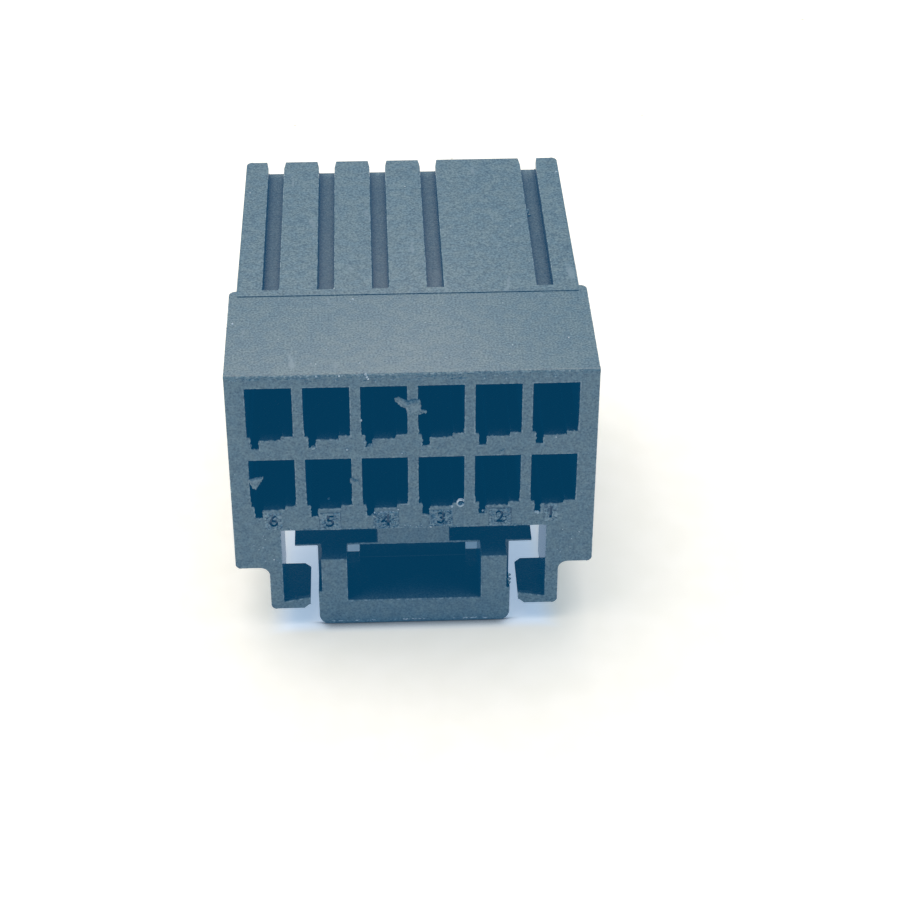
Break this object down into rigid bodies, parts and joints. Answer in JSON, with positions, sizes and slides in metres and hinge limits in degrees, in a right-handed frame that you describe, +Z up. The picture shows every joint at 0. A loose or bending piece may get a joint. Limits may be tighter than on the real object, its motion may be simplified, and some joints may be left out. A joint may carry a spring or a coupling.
{
  "type": "wire to board connector housing",
  "caption": "One-piece moulded two-row receptacle housing with stepped contact cavities, guide grooves on top and a latch lever between two guards underneath.",
  "frame": {"origin": "centre of the footprint, level with the sole of the latch pad", "axes": "+X across the positions, to the right as seen from the wire entry; +Y from the wire entry to the mating face; +Z up, away from the latch"},
  "size_m": [0.013, 0.0154, 0.0111],
  "materials": {
    "housing_plastic": "matte, fine-grained as moulded"
  },
  "bodies": {
    "root": {"housing": "housing_plastic"}
  },
  "joints": []
}
